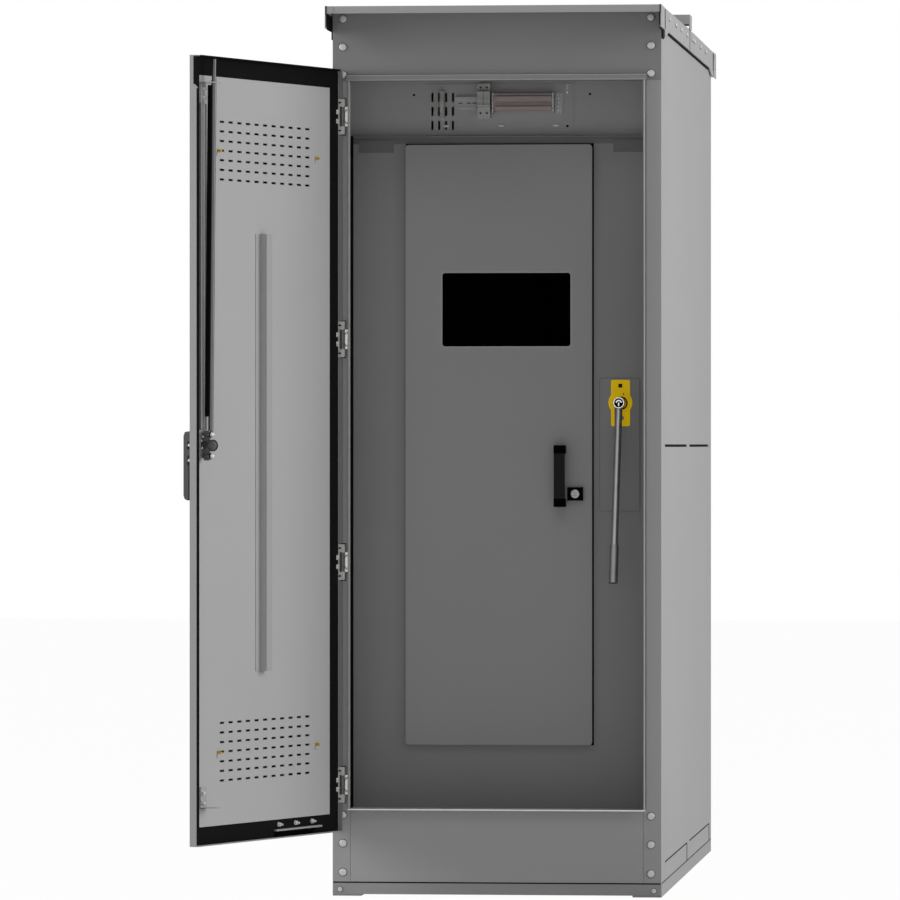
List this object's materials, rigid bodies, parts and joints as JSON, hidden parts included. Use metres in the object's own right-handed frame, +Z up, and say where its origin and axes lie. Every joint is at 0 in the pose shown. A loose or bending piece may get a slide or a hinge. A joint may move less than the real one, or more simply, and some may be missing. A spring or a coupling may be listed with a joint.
{
  "type": "metal enclosed switchgear cubicle",
  "caption": "Tall, deep sheet metal switchgear cubicle with hinged outer door, windowed inner door, operating handle and overhanging pitched roof.",
  "frame": {"origin": "centre of the four anchor holes at the underside of the base, on the ground", "axes": "+X to the right seen from the front, +Y to the back, +Z up; the front with its doors looks along -Y"},
  "size_m": [1.242, 3.2222, 2.508],
  "materials": {
    "body_paint": "fine texture powder coat, light grey",
    "door_paint": "fine texture powder coat, light grey",
    "inner_paint": "satin grey powder coat",
    "base_paint": "satin grey paint",
    "seal_rubber": "matt black foam rubber",
    "filter_foam": "black open foam",
    "zinc": "bright zinc plated steel",
    "cast_zinc": "fine cast metal, grey",
    "brass": "satin brass",
    "yellow_paint": "satin yellow enamel",
    "chrome": "polished plate",
    "black_plastic": "black, fine matt",
    "device_plastic": "light grey, matt",
    "heater_metal": "dull anodised",
    "dark_glass": "dark tinted"
  },
  "bodies": {
    "cabinet": {"base_rail_left": "base_paint", "base_rail_right": "base_paint", "base_crossmembers": "base_paint", "floor_plate": "inner_paint", "left_side_panel": "body_paint", "right_side_panel": "body_paint", "left_skirt_covers": "body_paint", "right_skirt_covers": "body_paint", "side_slot_seals": "seal_rubber", "rear_panel": "body_paint", "front_post_left": "body_paint", "front_post_right": "body_paint", "header_panel": "body_paint", "sill_panel": "body_paint", "roof_front": "body_paint", "roof_rear": "body_paint", "roof_cheeks": "body_paint", "roof_corner_seals": "seal_rubber", "roof_ridge_cap": "body_paint", "dead_front_panel": "inner_paint", "dead_front_seals": "seal_rubber", "upper_back_panel": "inner_paint", "vent_grille": "inner_paint", "equipment_plate": "inner_paint", "din_rail": "zinc", "breaker": "device_plastic", "heater": "heater_metal", "heater_brackets": "zinc", "mechanism_cover": "inner_paint", "handle_lock_plate": "yellow_paint", "shaft_collar": "black_plastic", "hinge_frame_leaves": "cast_zinc", "inner_hinge_knuckles": "zinc", "relay": "device_plastic", "ledge_brackets": "inner_paint"},
    "outer_door": {"outer_door_pan": "door_paint", "door_gasket": "seal_rubber", "door_liner": "door_paint", "vent_filters": "filter_foam", "vent_clips": "brass", "door_stiffener": "door_paint", "latch_edge_bar": "zinc", "latch_case": "cast_zinc", "rod_guides": "zinc", "door_stay": "zinc", "hinge_door_leaves": "zinc", "outer_escutcheon": "cast_zinc"},
    "latch_lever": {"latch_handle": "cast_zinc"},
    "latch_rod": {"latch_rod": "zinc", "rod_shield": "black_plastic"},
    "inner_door": {"inner_door_panel": "inner_paint", "inner_door_rim": "inner_paint", "window_pane": "dark_glass", "inner_door_hinges": "zinc", "pull_handle": "black_plastic", "lock_body": "black_plastic"},
    "lock_cam": {"lock_cylinder": "chrome"},
    "operating_handle": {"handle_hub": "chrome", "handle_rod": "chrome", "handle_grip": "chrome"}
  },
  "joints": [
    {"name": "outer_door_hinge", "type": "hinge", "parent": "cabinet", "child": "outer_door", "pos_m": [-0.4286, -1.152, 1.236], "axis": [0, 0, -1], "range_deg": [-110.45, 0]},
    {"name": "latch_lever_turn", "type": "hinge", "parent": "outer_door", "child": "latch_lever", "pos_m": [-0.70671, -1.89783, 1.2504], "axis": [0.937, -0.3494, 0], "range_deg": [0, 90]},
    {"name": "latch_rod_slide", "type": "slide", "parent": "outer_door", "child": "latch_rod", "axis": [0.0095, -0.0035, 0.9999], "range_m": [-0.02, 0]},
    {"name": "inner_door_hinge", "type": "hinge", "parent": "cabinet", "child": "inner_door", "pos_m": [-0.276, -0.897, 1.252], "axis": [0, 0, -1], "range_deg": [0, 100]},
    {"name": "inner_lock_turn", "type": "hinge", "parent": "inner_door", "child": "lock_cam", "pos_m": [0.1998, -0.903, 1.1147], "axis": [0, -1, 0], "range_deg": [0, 90]},
    {"name": "operating_handle_turn", "type": "hinge", "parent": "cabinet", "child": "operating_handle", "pos_m": [0.3264, -0.913, 1.3695], "axis": [0, 1, 0], "range_deg": [0, 180]}
  ],
  "couplings": [
    {"joint": "latch_rod_slide", "follows": "latch_lever_turn", "m_per_rad": -0.0127}
  ]
}
